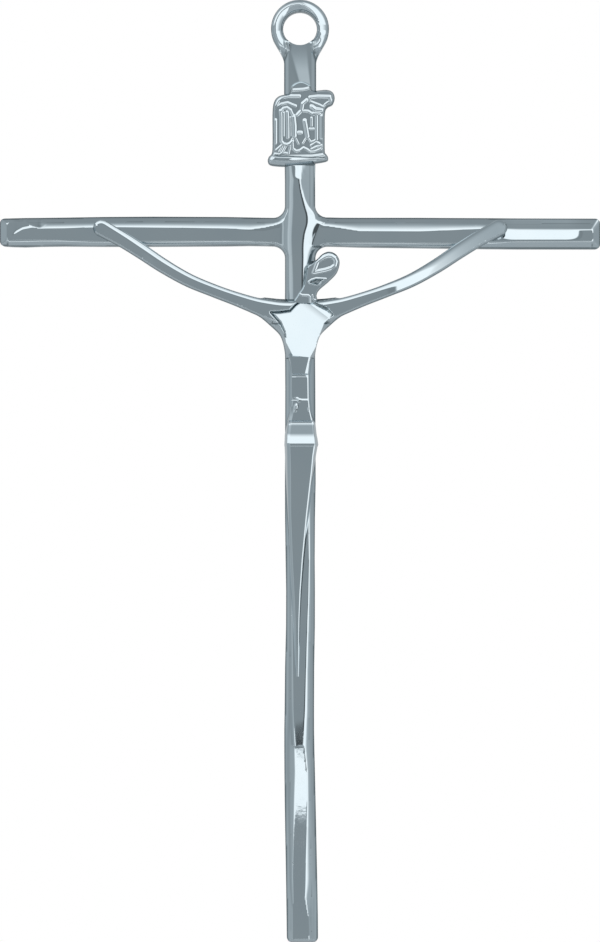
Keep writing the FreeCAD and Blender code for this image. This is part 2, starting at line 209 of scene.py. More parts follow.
# across the ring from -1 at its left to 1 at its right: crest radius, fall and bend of its outer
# side, fall and bend of its inner side
RING = [
    (-1, 8.6, 0.6, 0, 0.15, 0.1),
    (-0.6, 8.4, 0.4, 0.1, 0.25, 0.1),
    (0, 7.9, 0.1, 0.2, 0.7, 0),
    (0.7, 6.8, 0.13, 0.1, 0.8, 0),
    (1, 6.25, 0.15, 0.06, 0.8, 0),
]
RING_RISE = 0.2  # how far the ring's crest stands above the land
RING_RIM = 0.7  # width of the rounded rim
RING_RIM_FALL = 1.1
RING_RIM_MOST = 1.6
RING_LOW = (0, -0.6)  # down the ring, in radii
RING_LOW_SIDE = (0.3, 0.9)  # across the ring, in radii
RING_LOW_OUT = 1.5  # how far out the crest moves at the lower right
RING_INNER = (-0.9, -0.5)  # up the ring, in radii
# left side of the neck's facet: height, x
NECK = [(-20, 0.3), (-17, -0.8), (-14, -1.9), (-10, -3.2), (-6, -4.6)]
NECK_FOOT = -30
NECK_RIGHT = 3.4
NECK_DROP = 0.7  # how far the facet leans back on its left side
NECK_LEFT_SOFT = 0.8
NECK_RIGHT_SOFT = 0.15
NECK_SIDES = (6, 3)
NECK_START = (-3, -5.6)
RING_TO = (-6.5, -12)

# the back
WALL = 1.7
UPRIGHT_HALF = 5.1
CELL_DEPTH = 2.4
CELL_SIDE = (-0.01, 0.5)  # in from the cell's edge
CELL_CORNER_R = 1.2
RIB = 1.6
UPRIGHT_CELLS = [(-14, -23.5), (-45.5, -61.5), (-76.5, -98.5), (-108.5, -135)]
SHIN_RIBS = [-144.5, -170, -198, -226, -254, -282, -307.7]
CROSSBAR_CELLS = [(8, 33.2), (34.8, 59.6), (69, ARM_END - 2.6)]
COUNTERBORE_DEPTH = 2.1
COUNTERBORE_SIDE = (-0.01, 0.3)  # in from the counterbore's edge
HEAD_GAP = 0.25
CROSS_GRID = 0.3
FAR = 99  # a distance that is outside everything
NO_LINE = 9  # a crease's distance where there is no crease
SCREWS = ["scroll_screw_upper", "scroll_screw_lower", "torso_screw", "leg_screw",
          "left_hand_screw", "right_hand_screw"]

# ---- figure ----
# distance out along the arm: z of its middle, half width, forward of the middle, half depth,
# squareness of the left and right arm's section, tilt of the right arm's front
ARM = [
    (0, -97, 4, 4.9, 2.1, 5, 5, 0),
    (8, -96.5, 3.8, 5, 2, 4.5, 4.5, 0),
    (13.4, -94.9, 3, 5, 1.9, 4, 4, 0),
    (21.6, -92, 2.35, 4.9, 1.8, 3.6, 3.4, 0),
    (29.5, -89.05, 2.2, 4.8, 1.8, 3.3, 3, 0.05),
    (37.9, -85.5, 2.3, 4.7, 1.8, 3, 2.8, 0.2),
    (46, -80.9, 2.45, 4.5, 1.7, 2.7, 2.8, 0.42),
    (54.2, -75.5, 2.6, 4.2, 1.5, 2.6, 3.2, 0.57),
    (60, -71.9, 2.65, 4, 1.4, 3, 3.8, 0.6),
    (65, -69.1, 2.75, 3.9, 1.3, 3.6, 4.6, 0.6),
    (67.2, -67.9, 2.8, 3.8, 1.3, 4, 5, 0.6),
    (70.2, -66.3, 2.8, 3.8, 1.3, 4, 5, 0.6),
]
HAND_X = 67.2
HAND_Z = -67.95
HAND_R = 2.8
HAND_ALONG = (0.87, 0.5)  # direction of the arm at the hand
ARM_RIM = 0.2  # share of the arm's half depth that is left at its edge
ARM_BEVEL = 0.8  # width of the straight bevel along the arm's lower side
ARM_BEVEL_FROM = 9
ARM_CREASE_FROM = 12
ARM_PAST_SLOPE = 1.5
ARM_GRID = 0.2
ARM_BACK_OVER = (0, 1)  # past the arm's edge
ARM_BACK_TO = (16, 13)
# chest outline downwards: z, left and right
CHEST_SIDE = [(-92, -10, 10), (-96.6, -11.2, 11.2), (-100.3, -9.4, 9.4), (-104.8, -6.5, 6.6),
              (-109.7, -5.2, 5.3), (-113, -4.9, 4.9)]
# outline of the chest's flat facet
CHEST = [
    (-9.8, -96.6), (-6.7, -96.5), (-3.3, -96), (-1.7, -94.2), (-0.6, -93.3), (3.2, -92.6),
    (6.4, -94), (9.2, -95.2), (11.1, -97.5), (8.3, -100), (6.9, -103.4), (5.5, -107.9),
    (3.4, -111.9), (-2.4, -111.3), (-4.7, -106.8), (-5.3, -103.4), (-6.7, -100.1),
]
CHEST_TOP = -93.5
CHEST_FOOT = -112.2
CHEST_LOW_Z = -111.9
CHEST_LOW = 9.95  # forward distance of the chest facet at its foot
CHEST_TILT = 0.2
CHEST_SIDE_FADE = (-0.3, 0.1)
CHEST_GROOVE = 0.9  # depth of the groove along the facet's left edge, and its half width
GROOVE_HALF = 0.28
GROOVE_FOOT = -105
SHOULDER_X = 3  # a point on the line beyond which the right shoulder falls away
SHOULDER_Z = -96.2
SHOULDER_ALONG = (0.6, 0.8)
SHOULDER_BEND = 0.05
FLANK = 3.3  # forward distance of the chest's outline
FLANK_POWER = 0.8
FLANK_FROM = (-98, -101)
FLANK_SOFT = 0.5
ARMPIT_R = 4
# from the abdomen to the feet: z, outer left, facet left and right, outer right, forward distance,
# left and right chamfer
LEGS = [
    (-110.8, -3.9, -1.9, 3.1, 3.9, 8.75, 0.06, 0.24),
    (-113.5, -3.3, -1.6, 2.5, 3.2, 8.75, 0.06, 0.24),
    (-117.3, -3, -1.25, 1.6, 2.9, 8.75, 0.06, 0.24),
    (-117.7, -3, -1.25, 1.5, 2.9, 8.3, 0.06, 0.24),
    (-117.95, -3, -1.35, 2.2, 2.9, 8.27, 0.06, 0.24),
    (-118.4, -3, -1.4, 2.3, 2.9, 8.36, 0.06, 0.24),
    (-119.4, -3, -1.5, 2.4, 2.9, 8.38, 0.06, 0.24),
    (-125.5, -3, -1.6, 2.5, 2.95, 8.38, 0.06, 0.24),
    (-125.9, -3, -0.6, 2.5, 3, 8.4, 0.06, 0.24),
    (-126.3, -3, -0.7, 2.6, 3, 8.49, 0.06, 0.24),
    (-130, -3.3, -1.9, 3, 3.4, 8.5, 0.1, 0.24),
    (-133.1, -3.9, -2.7, 3.7, 4.2, 8.52, 0.15, 0.24),
    (-133.5, -3.9, -2.8, 3.9, 4.5, 7.8, 0.2, 0.24),
    (-133.9, -4, -2.8, 4, 4.6, 7.72, 0.3, 0.3),
    (-134.35, -4.1, -2.9, 4.2, 4.7, 7.81, 0.4, 0.4),
    (-138, -4.4, -3.4, 4.5, 4.9, 9.78, 0.5, 0.5),
    (-138.9, -4.4, -3.45, 4.7, 5.1, 10, 0.5, 0.5),
    (-141.3, -4.5, -3.5, 4.9, 5.4, 10.36, 0.5, 0.5),
    (-142, -4.4, -3.4, 4.6, 5.1, 10.3, 0.6, 0.3),
    (-145, -4.3, -3.3, 4.1, 4.6, 10.02, 0.6, 0.24),
    (-150, -4.25, -3.2, 3.65, 4.15, 9.55, 0.6, 0.24),
    (-165, -3.9, -3.1, 1.95, 2.45, 8.13, 0.6, 0.24),
    (-180, -3.3, -2.55, 0.55, 1, 6.71, 0.6, 0.24),
    (-191, -2.7, -2, -0.2, 0.2, 5.69, 0.6, 0.24),
    (-200, -2.2, -1.6, -0.55, -0.2, 4.85, 0.6, 0.24),
    (-219.8, -1.3, -1.05, -0.75, -0.5, 3, 0.6, 0.24),
]
# bumps of the knotted cloth: x, z and radius
KNOTS = [(-0.3, -126.1, 0.4), (-1.2, -128.3, 0.45), (-1.5, -129.5, 0.35), (2.9, -129.2, 0.35)]
KNOT_RISE = 0.5  # height of a bump for its radius
LEFT_SOFT = 0.3
RIGHT_SOFT = 0.12
WALL_LEAN = 0.1
LEG_ROW = 0.45
WALL_STEPS = (0.05, 0.15, 0.4, 0.7, 1)
# distances from the facet's left and right edge, close together to hold the edge crisp
EDGE_STEPS = (-0.5, -0.3, -0.2, -0.12, -0.06, 0, 0.06, 0.12, 0.2, 0.3, 0.5)
SEAT = 2
SEAT_SINK = 0.05

# outline of the head and neck
HEAD = [
    (-1.9, -93.6), (-0.8, -90.6), (0.7, -88.4), (1.5, -86.2), (2, -83.6), (2.6, -81), (4.2, -79.9),
    (5.9, -78.4), (7.6, -76.8), (9.5, -76), (11.4, -76.4), (12.9, -77.8), (13.4, -80), (12.4, -83.2),
    (9.7, -86.1), (6.6, -88.8), (5.6, -90.7), (5.5, -93.6),
]
# the raised line round the head's upper recess
LOOP = [
    (4.6, -83.1), (6.6, -82.7), (8.6, -82.3), (10.5, -81.7), (11.8, -80.7), (12.1, -79.4), (11.6, -78.3),
    (10.7, -77.7), (9.6, -77.5), (8.4, -77.9), (6.9, -78.8), (5.9, -79.6),
]
# the recess below the loop
LENS = [
    (2.9, -86.3), (3.9, -85.6), (5.5, -85.1), (8.8, -85.3), (7.2, -86.1), (6.4, -87.2), (4.9, -87.3),
    (3.5, -86.9),
]
COLLAR = [(-0.2, -90.4), (0.6, -90.8), (2.8, -90.9), (3.4, -91.5), (3.4, -93.3)]
NAPE = [(4.2, -90.8), (4.3, -91.9), (4.9, -92.5), (5.6, -92.4)]
HEAD_FORWARD = 6.6
HEAD_EDGE = 4.9
HEAD_BEVEL = 0.5
HEAD_BACK = 2.6
HEAD_GRID = 0.15
LENS_DEPTH = 0.7
LENS_SIDE = (0.1, 0.6)  # in from the recess's edge

# ---- scroll ----
SCROLL = [
    (-9.3, -38), (-9.3, -28.5), (-8.7, -24.9), (-7.2, -23.2), (-4.9, -22.5), (-3.6, -22), (-2.6, -19.3),
    (0.4, -18.05), (3.4, -19.3), (4.4, -21.2), (9, -21), (11.1, -21.9), (11.75, -23.9), (11, -26),
    (9.3, -27), (8.5, -28.7), (8.4, -34), (8.4, -41.6), (8.8, -42.7), (9.5, -43.9), (9, -45.2),
    (4.8, -46), (0, -46.6), (-4.9, -47), (-9.7, -46.6), (-10.9, -45.4), (-10.6, -43.8), (-9.5, -42.3),
]
SCROLL_FRONT = 4.7
SCROLL_EDGE = 2.6
SCROLL_BEVEL = 0.8
SCROLL_BACK = 0.9
SCROLL_GRID = 0.12
# the rolled lower edge
ROLL_Z = 45.4  # how far its middle lies below the eye at x = 0
ROLL_LEAN = 0.05
ROLL_HALF = 1.5
ROLL_RISE = 0.7
ROLL_SIDE = 1.6
# raised lines of the scroll's face: half width, then the points along the line
STROKES = [
    (0.34, [(-8.3, -26.9), (-7.2, -24.9), (-5.8, -23.9), (-4, -23.5), (-0.2, -23.5)]),
    (0.3, [(-8.5, -27.3), (-6.5, -26.2), (-4.2, -25.7), (-2.6, -26.4), (-1.5, -26.8)]),
    (0.36, [(3.4, -23.9), (6, -23.6), (10, -23.7), (10.3, -25)]),
    (0.26, [(3.4, -23.9), (3.4, -25.2), (4.6, -25.7), (6.5, -26.4), (7.9, -27.1)]),
    (0.2, [(7.9, -27.1), (8.4, -26.2), (9.8, -25.2)]),
    (0.36, [(2.3, -24.8), (0.9, -26), (0.5, -28.3), (-0.9, -29.8)]),
    (0.3, [(0.5, -28.4), (2.8, -28.6), (4.4, -29.6), (5.6, -29.8)]),
    (0.46, [(4, -27), (5.2, -28), (7.3, -28.2)]),
    (0.36, [(4.6, -29.2), (6.6, -29.3)]),
    (0.32, [(5.6, -29.8), (5.6, -38)]),
    (0.44, [(7.4, -30.2), (7.4, -37.4)]),
    (0.36, [(-8.3, -31.6), (-8.3, -39.2)]),
    (0.32, [(-6.6, -28.4), (-6.4, -30.5), (-6.4, -38.6), (-5.6, -39.6), (-4.4, -39.9), (-3.3, -39.4),
            (-2.5, -38.5)]),
    (0.3, [(-6.6, -28.8), (-5.6, -27.6), (-4.4, -27.3), (-3.2, -28.2), (-2.3, -30.2)]),
    (0.48, [(-2.2, -30.4), (-1.9, -33.5), (-1.9, -36.8)]),
    (0.24, [(-5.5, -29), (-5.5, -36.8)]),
    (0.34, [(-4.3, -28.8), (-4.1, -33), (-4.1, -37.4)]),
    (0.22, [(-3.3, -30.6), (-3.1, -36.8)]),
    (0.22, [(-0.5, -39.6), (-1.9, -36.8), (-2.8, -38.4)]),
    (0.44, [(1.6, -31.8), (2, -34), (2.5, -37)]),
    (0.22, [(1, -39.4), (2.4, -37), (3.6, -38.9), (4.8, -38.6), (5.6, -37.8)]),
    (0.36, [(-0.6, -35.8), (0.4, -35.8)]),
    (0.26, [(3.9, -30.8), (3.9, -33.4)]),
    (0.26, [(3.3, -34.5), (4.6, -34.5)]),
    (0.24, [(-5.7, -39.6), (-8, -41.6)]),
    (0.26, [(-6, -40.3), (-7, -42.2)]),
    (0.26, [(-4.8, -40.3), (-5.9, -42.4)]),
    (0.26, [(-3.3, -40.1), (-3.9, -42.8)]),
    (0.26, [(-8.5, -43), (-6.9, -43.1), (-6, -42.5), (-3.9, -42.9)]),
    (0.28, [(-2.6, -39.2), (-2.4, -41.2), (-1.3, -42.1), (0, -41.8), (1.2, -40.9), (2.4, -41.5),
            (3.4, -42.2), (5, -42.1), (7, -41.3), (7.5, -40.5)]),
    (0.28, [(4, -41.3), (5.8, -40.5), (7.3, -40.1)]),
    (0.28, [(3.8, -40.1), (5.5, -38.9), (6.5, -39.5)]),
    (0.36, [(-9.4, -43.6), (-7, -44.1), (-3, -44), (4, -43.9), (7.9, -43.4)]),
    (0.32, [(-3.2, -21.4), (-2.6, -19.6), (-1.2, -18.5), (0.8, -18.2), (2.6, -18.5), (3.6, -19.4),
            (3.9, -20.6), (1.3, -21.2), (-3.2, -21.5)]),
]
STROKE_WIDER = 1.3
STROKE_RISE = 0.32  # height of a raised line for its half width, here and on the head


def smooth_min(a, b, k):
    """The lower of two, rounded over k where they cross."""
    h = np.clip(0.5 + 0.5 * (b - a) / k, 0, 1)
    return b * (1 - h) + a * h - k * h * (1 - h)


def smooth_max(a, b, k):
    """The higher of two, rounded over k where they cross."""
    return -smooth_min(-a, -b, k)


def ramp(low, high, x):
    """A soft step from 0 at low to 1 at high, which may be the smaller of the two."""
    t = np.clip((x - low) / (high - low), 0, 1)
    return t * t * (3 - 2 * t)


def linear(table, column):
    """A function through one column of a table, straight between its rows."""
    rows = sorted(table)
    at = [row[0] for row in rows]
    value = [row[column] for row in rows]
    return lambda t: np.interp(t, at, value)


def smooth(table, column):
    """A function through one column of a table, curved between its rows."""
    rows = sorted(table)
    at = np.array([row[0] for row in rows], float)
    value = np.array([row[column] for row in rows], float)
    lean = np.gradient(value, at)

    def curve(t):
        t = np.clip(t, at[0], at[-1])
        i = np.clip(np.searchsorted(at, t) - 1, 0, len(at) - 2)
        step = at[i + 1] - at[i]
        s = (t - at[i]) / step
        start = value[i] * (1 + 2 * s) * (1 - s) ** 2 + lean[i] * step * s * (1 - s) ** 2
        return start + value[i + 1] * s * s * (3 - 2 * s) + lean[i + 1] * step * s * s * (s - 1)
    return curve


def round_meet(a, b, r):
    """Inside both, with the corner rounded. Distances are positive inside."""
    return np.maximum(r, np.minimum(a, b)) - np.hypot(np.maximum(r - a, 0), np.maximum(r - b, 0))


def round_union(a, b, r):
    """Inside either, with the inner corner filled to a radius."""
    return np.minimum(-r, np.maximum(a, b)) + np.hypot(np.maximum(r + a, 0), np.maximum(r + b, 0))


def block(x, z, x0, x1, z0, z1, r):
    """Distance inside a rectangle with rounded corners."""
    return round_meet(np.minimum(x - x0, x1 - x), np.minimum(z - z0, z1 - z), r)


def closed_curve(points, steps=8):
    """Distance inside a smooth closed outline through the points."""
    p = np.array(points, float)
    before, after, later = np.roll(p, 1, 0), np.roll(p, -1, 0), np.roll(p, -2, 0)
    ring = []
    for i in range(len(p)):
        for t in np.arange(steps) / steps:
            ring.append(0.5 * (2 * p[i] + (after[i] - before[i]) * t
                               + (2 * before[i] - 5 * p[i] + 4 * after[i] - later[i]) * t ** 2
                               + (3 * p[i] - before[i] - 3 * after[i] + later[i]) * t ** 3))
    ring = np.array(ring)
    ends = np.roll(ring, -1, 0)

    def distance(x, z):
        shape = np.shape(x)
        x, z = np.ravel(x), np.ravel(z)
        nearest = np.full(x.shape, 1e9)
        inside = np.zeros(x.shape, bool)
        for (ax, az), (bx, bz) in zip(ring, ends):
            dx, dz = bx - ax, bz - az
            t = np.clip(((x - ax) * dx + (z - az) * dz) / (dx * dx + dz * dz), 0, 1)
            nearest = np.minimum(nearest, (x - ax - t * dx) ** 2 + (z - az - t * dz) ** 2)
            if az != bz:
                inside ^= ((az > z) != (bz > z)) & (x < dx * (z - az) / dz + ax)
        return (np.sqrt(nearest) * np.where(inside, 1, -1)).reshape(shape)
    return distance


def polyline(points):
    """Distance from an open line through the points."""
    def distance(x, z):
        nearest = np.full(np.shape(x), 1e9)
        for (ax, az), (bx, bz) in zip(points[:-1], points[1:]):
            dx, dz = bx - ax, bz - az
            t = np.clip(((x - ax) * dx + (z - az) * dz) / (dx * dx + dz * dz), 0, 1)
            nearest = np.minimum(nearest, np.hypot(x - ax - t * dx, z - az - t * dz))
        return nearest
    return distance


def bead(points, half_wide):
    """The height of a raised line through the points."""
    line = polyline(points)
    return lambda x, z: STROKE_RISE * half_wide * np.exp(-(line(x, z) / half_wide) ** 2)


def inset(inside, by):
    """An outline moved inwards."""
    return lambda x, z: inside(x, z) - by


# ---- mesh building ----
HOLLOW_DEPTH = 0.12  # a point this far below its surroundings gets the full painted shade
HOLLOW_REACH = 0.5
RELAX_ROUNDS = 3
SNAP_ROUNDS = 4
SNAP_STEP = 0.01
LEAST_GRADE = 0.2
CRISP_DEGREES = 38  # an edge that turns by more than this is shaded crisp


def snap(x, z, outline, mask):
    """Moves the masked points onto an outline."""
    step = SNAP_STEP
    for _ in range(SNAP_ROUNDS):
        px, pz = x[mask], z[mask]
        d = outline(px, pz)
        gx = (outline(px + step, pz) - outline(px - step, pz)) / (2 * step)
        gz = (outline(px, pz + step) - outline(px, pz - step)) / (2 * step)
        grade = np.maximum(gx * gx + gz * gz, LEAST_GRADE)
        x[mask] = px - d * gx / grade
        z[mask] = pz - d * gz / grade


def relief(name, outline, front, back, low, high, pitch, creases=()):
    """A closed piece between a front and a back surface over a plan outline."""
    xs = np.arange(low[0], high[0] + pitch, pitch)
    zs = np.arange(low[1], high[1] + pitch, pitch)
    x, z = np.meshgrid(xs, zs, indexing="ij")
    keep = outline(x[:-1, :-1] + pitch / 2, z[:-1, :-1] + pitch / 2) > 0
    around = np.zeros(x.shape, int)
    for i in (0, 1):
        for j in (0, 1):
            around[i:i + keep.shape[0], j:j + keep.shape[1]] += keep
    used, rim = around > 0, (around > 0) & (around < 4)
    inner = around == 4
    for _ in range(RELAX_ROUNDS):
        snap(x, z, outline, rim)
        for a in (x, z):
            mean = (np.roll(a, 1, 0) + np.roll(a, -1, 0) + np.roll(a, 1, 1) + np.roll(a, -1, 1)) / 4
            a[inner] = 0.5 * a[inner] + 0.5 * mean[inner]
    on = np.zeros(x.shape, bool)
    for crease in creases:
        near = inner & (np.abs(crease(x, z)) < pitch / 2)
        snap(x, z, crease, near)
        on |= near

    # a vertex at each used point, in front and behind
    number = np.full(x.shape, -1)
    number[used] = np.arange(used.sum())
    count = int(used.sum())
    px, pz = x[used], z[used]
    forward = np.concatenate([front(px, pz), back(px, pz)])
    co = np.stack([np.tile(px, 2), -forward, np.tile(pz, 2)], 1) * MM

    # the front's cells, split along the creases that cross them
    i, j = np.nonzero(keep)
    corners = [number[i, j], number[i + 1, j], number[i + 1, j + 1], number[i, j + 1]]
    quads = np.stack(corners, 1)
    along = on[i, j] & on[i + 1, j + 1]
    across = ~along & on[i + 1, j] & on[i, j + 1]
    faces = [
        quads[~along & ~across],
        quads[along][:, [0, 1, 2]],
        quads[along][:, [0, 2, 3]],
        quads[across][:, [0, 1, 3]],
        quads[across][:, [1, 2, 3]],
        np.stack(corners[::-1], 1) + count,
    ]
    walls_from = sum(len(group) for group in faces)

    # a side wall wherever a cell has no neighbour
    padded = np.pad(keep, 1)
    sides = [(0, -1, 0, 1), (1, 0, 1, 2), (0, 1, 2, 3), (-1, 0, 3, 0)]
    for di, dj, a, b in sides:
        bare = ~padded[i + 1 + di, j + 1 + dj]
        va, vb = corners[a][bare], corners[b][bare]
        faces.append(np.stack([vb, va, va + count, vb + count], 1))
    level = np.where(used, 0.0, np.nan)
    level[used] = forward[:count]
    listed = [face for group in faces for face in group.tolist()]
    return mesh_piece(name, co, listed, np.tile(hollow_shade_strength(level, pitch)[used], 2), walls_from)


def hollow_shade_strength(level, pitch):
    """How far each point of a grid lies below its surroundings, from 0 to 1, which sets how much painted
    shade darkens it.
    """
    steps = max(1, int(round(HOLLOW_REACH / pitch)))
    total, weight = np.zeros(level.shape), np.zeros(level.shape)
    for di in range(-steps, steps + 1):
        for dj in range(-steps, steps + 1):
            near = np.roll(level, (di, dj), (0, 1))
            there = ~np.isnan(near)
            total[there] += near[there]
            weight += there
    return np.clip((total / np.maximum(weight, 1) - level) / HOLLOW_DEPTH, 0, 1)


def mesh_piece(name, co, faces, hollow_shade=None, walls_from=None):
    """A visible piece. Its faces from number walls_from on are side walls."""
    mesh = bpy.data.meshes.new(name)
    mesh.from_pydata(co.tolist(), [], faces)
    mesh.validate()
    mesh.shade_smooth()
    piece = bpy.data.objects.new(name, mesh)
    bpy.context.scene.collection.objects.link(piece)
    mark_sharp(mesh, len(mesh.polygons) if walls_from is None else walls_from)
    if hollow_shade is not None:
        # each point's strength of the painted shade in the hollows
        mesh.attributes.new("hollow_shade", "FLOAT", "POINT").data.foreach_set("value", hollow_shade)
    return piece


def mark_sharp(mesh, walls_from):
    """Keeps the shading crisp across real edges and all round the side walls."""
    normals = np.zeros(len(mesh.polygons) * 3)
    mesh.polygons.foreach_get("normal", normals)
    normals = normals.reshape(-1, 3)
    edge_of = np.zeros(len(mesh.loops), int)
    mesh.loops.foreach_get("edge_index", edge_of)
    face_of = np.repeat(np.arange(len(mesh.polygons)), [p.loop_total for p in mesh.polygons])
    order = np.argsort(edge_of, kind="stable")
    edges, faces = edge_of[order], face_of[order]
    first = np.nonzero(edges[:-1] == edges[1:])[0]
    one, other = faces[first], faces[first + 1]
    dot = (normals[one] * normals[other]).sum(1)
    sharp = np.zeros(len(mesh.edges), bool)
    crisp = dot < math.cos(math.radians(CRISP_DEGREES))
    at_wall = (one < walls_from) != (other < walls_from)
    sharp[edges[first]] = crisp | at_wall
    mesh.attributes.new("sharp_edge", "BOOLEAN", "EDGE").data.foreach_set("value", sharp)


# ---- cross ----
middle_of, half_of, left_ridge, right_ridge, left_tilt, right_tilt, land_shade = [
    linear(UPRIGHT, k) for k in range(1, 8)]
top_edge, upper_ridge, lower_ridge, bottom_edge, bar_shade = [linear(CROSSBAR, k) for k in range(1, 6)]
column_crest, column_left, column_wide, column_steep, column_bend = [
    smooth(COLUMN, k) for k in range(1, 6)]
ring_crest, out_fall, out_bend, in_fall, in_bend = [linear(RING, k) for k in range(1, 6)]
neck_left = linear(NECK, 1)
tip_line = linear(TIP, 1)
land_turn = linear(LAND_TURN, 1)


def upright_inside(x, z):
    bar = round_meet(half_of(z) - np.abs(x - middle_of(z)), z - FOOT_Z, CORNER_R)
    return np.minimum(bar, NECK_TOP - z)


def crossbar_inside(x, z):
    return round_meet(np.minimum(top_edge(x) - z, z - bottom_edge(x)), ARM_END - np.abs(x), CORNER_R)


def cross_outline(x, z):
    r = np.hypot(x, z)
    bars = round_union(upright_inside(x, z), crossbar_inside(x, z), CROSSING_R)
    return np.minimum(round_union(bars, EYE_OUTER - r, SHOULDER_R), r - EYE_BORE)


def slope(q, crease, power):
    """Rise from the edge, q = 0, to the ridge, q = 1, where it stops with a crease."""
    rest = np.clip(1 - q, 0, 1)
    rising = np.where(q < 1, (1 - crease) * (1 - rest ** power) + crease * q, 1 + crease * (q - 1))
    rising = np.where(q < 0, OUTSIDE_SLOPE * q, rising)
    return smooth_min(rising, 1.0, RIDGE_SOFT)


def column_level(x, z):
    """The upright's own rounded column, which runs through the crossing."""
    crest = column_crest(z)
    right = np.maximum(x - crest, 0)
    left = smooth_max(column_left(z) - x, 0, COLUMN_SOFT)
    in_crest = np.minimum(x, crest) - crest
    lean = smooth_max(in_crest + COLUMN_LEAN_WIDE, 0, COLUMN_SOFT) * COLUMN_LEAN
    steep = smooth_max(right - column_wide(z), 0, COLUMN_STEEP_SOFT) * (column_steep(z) - COLUMN_FALL)
    head = COLUMN_HEAD_FALL * smooth_max(z - COLUMN_HEAD_Z, 0, COLUMN_HEAD_SOFT)
    head = head * np.exp(-((x - COLUMN_HEAD_X) / COLUMN_HEAD_WIDE) ** 2)
    fall = COLUMN_FALL * right + column_bend(z) * right ** 2 + steep
    return COLUMN_TOP - lean - fall - left ** 2 / (2 * COLUMN_LEFT_R) - head


def tip_step(x, z):
    """Drop of the low step at the left end of the crossbar."""
    return TIP_STEP * ramp(*TIP_SIDE, z - tip_line(x)) * ramp(*TIP_FROM, x) * ramp(*TIP_TO, x)


def end_swell(x, z):
    """Rise of the rounded land at the right end of the crossbar."""
    down = np.clip((upper_ridge(x) - z) / (upper_ridge(x) - lower_ridge(x)), 0, 1)
    bulge = END_SWELL * (down - down ** 5 / 5 - END_SWELL_MIDDLE)
    return bulge * ramp(*END_SWELL_FROM, x) * ramp(*END_SWELL_TO, x)


def neck_facet(x, z):
    """The lean of the neck's facet, from its drop at the left to nothing at the right."""
    across = smooth_max(x - neck_left(z), 0, NECK_LEFT_SOFT) / (NECK_RIGHT - neck_left(z))
    return NECK_DROP * (smooth_min(across, 1.0, NECK_RIGHT_SOFT) - 1)


def cap(x, z):
    """Level between the ridges: the land of both bars, the column, the ends and the neck."""
    span = ramp(*COLUMN_TO, z) * ramp(*COLUMN_FROM, z)
    in_bar = np.minimum(top_edge(x) - z, z - bottom_edge(x)) > 0
    clear = ~in_bar & (x > column_crest(z)) & (z < CLEAR_TOP) & (z > CLEAR_FOOT)
    column = np.where(np.abs(x) < COLUMN_REACH, column_level(x, z), 0)
    joined = smooth_max(LAND, column - COLUMN_SUNK * (1 - span), COLUMN_JOIN)
    level = np.where(clear, column, joined)
    shade = LAND_LEAN * smooth_max(x - right_ridge(z) + land_shade(z), 0, LAND_SOFT)
    level = level - np.where(z < LAND_LEAN_TOP, shade, 0)
    turned = LAND_PIVOT - np.clip(x, left_ridge(z), right_ridge(z))
    level = level + land_turn(z) * turned * ramp(*LAND_TURN_FROM, x - left_ridge(z))
    bar = BAR_LEAN * smooth_max(z - upper_ridge(x) + bar_shade(x), 0, LAND_SOFT)
    level = level - bar * ramp(*BAR_LEAN_FROM, np.abs(x))
    level = level - tip_step(x, z)
    level = level + end_swell(x, z)
    return level + np.where(z > NECK_FOOT, neck_facet(x, z), 0)


def ring_level(x, z):
    """The ring's two slopes and its rounded rim."""
    r = np.clip(np.hypot(x, z), 1, EYE_OUTER)
    side = x / r
    low = ramp(*RING_LOW, z / r) * ramp(*RING_LOW_SIDE, side)
    crest = ring_crest(side) + RING_LOW_OUT * low
    out = np.maximum(r - crest, 0)
    within = np.maximum(crest - r, 0)
    side_on = ramp(*RING_INNER, z / r)
    level = LAND + RING_RISE - out_fall(side) * out - out_bend(side) * out ** 2
    level = level - (in_fall(side) * within + in_bend(side) * within ** 2) * side_on
    rim = np.clip(1 - cross_outline(x, z) / RING_RIM, 0, RING_RIM_MOST)
    return level - RING_RIM_FALL * rim ** 2 * side_on


def upright_power(on_left, z):
    """Curve of the upright's flanks, straight at the foot and along the neck."""
    power = np.where(on_left, LEFT_POWER, RIGHT_POWER)
    return power + (1 - power) * np.maximum(ramp(*STRAIGHT_FOOT, z), z > NECK_FOOT)


def crossbar_power(on_top, x):
    """Curve of the crossbar's flanks. The upper one is straight towards both ends."""
    straight = np.maximum(ramp(*STRAIGHT_LEFT, x), ramp(*STRAIGHT_RIGHT, x))
    upper = TOP_POWER + (1 - TOP_POWER) * straight
    more = (BOTTOM_POWER - TOP_POWER) * ramp(*BOTTOM_FROM, np.abs(x)) * ramp(*BOTTOM_TO, x)
    return np.where(on_top, upper, TOP_POWER + more)


